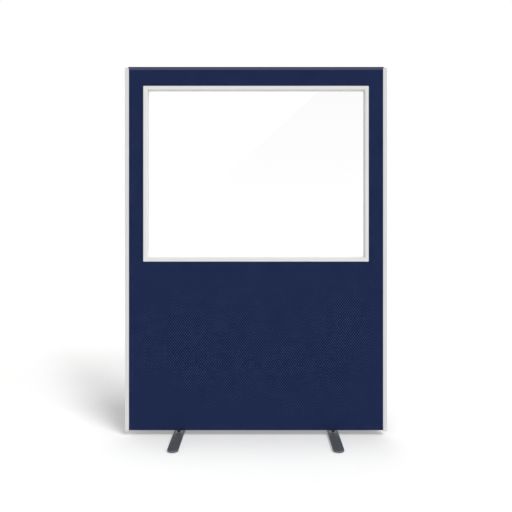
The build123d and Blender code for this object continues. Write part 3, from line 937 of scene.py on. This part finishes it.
# Studio: a white floor that keeps the screen's soft shadow, white surroundings, one broad light
# high on the front right, and the camera where the photograph was taken from. The floor's own glow
# paints
# more shadow: it is dimmer near the screen and behind its left end. It also glows evenly to light
# the screen from below.

seen_directly = ("Is Camera Ray", "Is Glossy Ray", "Is Transmission Ray")


def seen_share(tree):
    """1 for the rays that show a surface or the surroundings themselves, and 0 for the rest."""
    path = node(tree, "ShaderNodeLightPath")
    first, second, third = (path.outputs[name] for name in seen_directly)
    return math_node(tree, "MAXIMUM", math_node(tree, "MAXIMUM", first, second), third)


floor_size = 60
floor_white = shade(240, 240, 239)
# Near the screen and in a wedge behind its left end the floor glows less to camera, glossy and
# transmission rays: a painted shadow laid over the lamp's real one
glow_inside_painted_shadow, glow_outside_painted_shadow = 0.15, 0.37
# To other rays the floor glows evenly: painted light that lights the screen from below, though the
# floor is no lamp
underlight_glow = 0.29
shadow_left, shadow_right = -0.395, 0.515
shadow_front, shadow_back = 0.19, 0.48
shadow_slant = 0.535
fade_left, fade_right, fade_front, fade_back = 0.43, 0.19, 0.64, 1.8
floor_form = bmesh.new()
bmesh.ops.create_grid(floor_form, x_segments=2, y_segments=2, size=floor_size / 2)
floor = put_in_scene("studio_floor", floor_form)

floor_paper, tree, shader = start_material("white_floor_paper", floor_white, roughness=0.9)
shader.inputs["Specular IOR Level"].default_value = 0.1
floor_at = node(tree, "ShaderNodeSeparateXYZ", {
    0: node(tree, "ShaderNodeTexCoord").outputs["Object"],
}).outputs


def fade(tree, at, start, length):
    """How far the place lies past the start, as a share of the length."""
    return math_node(tree, "DIVIDE", math_node(tree, "SUBTRACT", at, start), length)


along_shadow = math_node(
    tree, "MULTIPLY_ADD", math_node(tree, "MAXIMUM", floor_at[1], 0), shadow_slant, floor_at[0]
)
sideways = math_node(
    tree, "MAXIMUM", fade(tree, along_shadow, shadow_left, -fade_left),
    fade(tree, floor_at[0], shadow_right, fade_right),
)
lengthways = math_node(
    tree, "MAXIMUM", fade(tree, floor_at[1], shadow_front, -fade_front),
    fade(tree, floor_at[1], shadow_back, fade_back),
)
away = node(tree, "ShaderNodeCombineXYZ", {
    0: math_node(tree, "MAXIMUM", sideways, 0), 1: math_node(tree, "MAXIMUM", lengthways, 0),
})
reach = node(tree, "ShaderNodeVectorMath", {0: away.outputs[0]}, operation="LENGTH")
# The glow rises smoothly out of the painted shadow towards plain white
painted_shadow_glow = node(tree, "ShaderNodeMapRange", {
    "Value": reach.outputs["Value"], "From Min": 0, "From Max": 1,
    "To Min": glow_inside_painted_shadow, "To Max": glow_outside_painted_shadow,
}, interpolation_type="SMOOTHSTEP")
painted_shadow_and_underlight_strength = node(tree, "ShaderNodeMix", {
    0: seen_share(tree), 2: underlight_glow, 3: painted_shadow_glow.outputs[0],
}, data_type="FLOAT").outputs[0]
painted_shadow_and_underlight = node(tree, "ShaderNodeEmission", {"Strength": painted_shadow_and_underlight_strength})
floor_surface = node(tree, "ShaderNodeAddShader", {
    0: shader.outputs[0], 1: painted_shadow_and_underlight.outputs[0],
})
tree.links.new(floor_surface.outputs[0], tree.nodes["Material Output"].inputs["Surface"])
floor.data.materials.append(floor_paper)

surroundings_light = 0.33
world = bpy.data.worlds.new("white_studio")
world.use_nodes = True
bpy.context.scene.world = world
tree = world.node_tree
sky = tree.nodes["Background"]
tree.links.new(
    node(tree, "ShaderNodeMix", {
        0: seen_share(tree), 2: surroundings_light, 3: 1.0,
    }, data_type="FLOAT").outputs[0],
    sky.inputs["Strength"],
)
sky.inputs["Color"].default_value = (1, 1, 1, 1)

key_strength = 1.87
key_spread = 27
key_azimuth, key_elevation = 35, 43
key = bpy.data.lights.new("broad_front_light", "SUN")
key.energy = key_strength
key.angle = math.radians(key_spread)
key_lamp = bpy.data.objects.new("broad_front_light", key)
key_lamp.rotation_euler = (math.radians(90 - key_elevation), 0, math.radians(key_azimuth))
bpy.context.scene.collection.objects.link(key_lamp)

# A grey card hangs behind the camera and glows, seen only in reflections: a painted reflection,
# whose slanted edge the pane shows faintly
card_distance = 5
card_corners = ((-0.8, 1.1), (1.2, 2.9), (3, 2.9), (3, 1.1))
card_darkest = 0.1
card_pale_at, card_dark_at = 1.15, 2.45
card_form = bmesh.new()
card_form.faces.new([card_form.verts.new((x, -card_distance, z)) for x, z in card_corners])
card = put_in_scene("glowing_reflection_card", card_form)
card.visible_camera = card.visible_diffuse = card.visible_transmission = False
card.visible_shadow = False
painted_reflection_card, tree, shader = start_material("painted_reflection_card", (1, 1, 1), roughness=1.0)
card_height = node(tree, "ShaderNodeSeparateXYZ", {
    0: node(tree, "ShaderNodeTexCoord").outputs["Object"],
}).outputs[2]
# The card's glow is painted light for reflections only, full at its foot and dimming towards its
# top
card_level = node(tree, "ShaderNodeMapRange", {
    "Value": card_height, "From Min": card_pale_at, "From Max": card_dark_at,
    "To Min": 1, "To Max": card_darkest,
})
card_glow = node(tree, "ShaderNodeEmission", {"Strength": card_level.outputs[0]})
tree.links.new(card_glow.outputs[0], tree.nodes["Material Output"].inputs["Surface"])
card.data.materials.append(painted_reflection_card)

sensor_width = 36
picture_width = 512
focal_pixels = 662.7
axis_pixel = Vector((260, 210.92))
camera_place = Vector((0.0183, -3.0533, 1.0307))
camera = bpy.data.cameras.new("camera")
camera.sensor_width = sensor_width
camera.lens = focal_pixels * sensor_width / picture_width
camera.shift_x = (picture_width / 2 - axis_pixel.x) / picture_width
camera.shift_y = (axis_pixel.y - picture_width / 2) / picture_width
camera.clip_end = 200
camera_object = bpy.data.objects.new("camera", camera)
camera_object.location = camera_place
camera_object.rotation_euler = (math.pi / 2, 0, 0)
bpy.context.scene.collection.objects.link(camera_object)
bpy.context.scene.camera = camera_object
bpy.context.scene.view_settings.view_transform = "Standard"
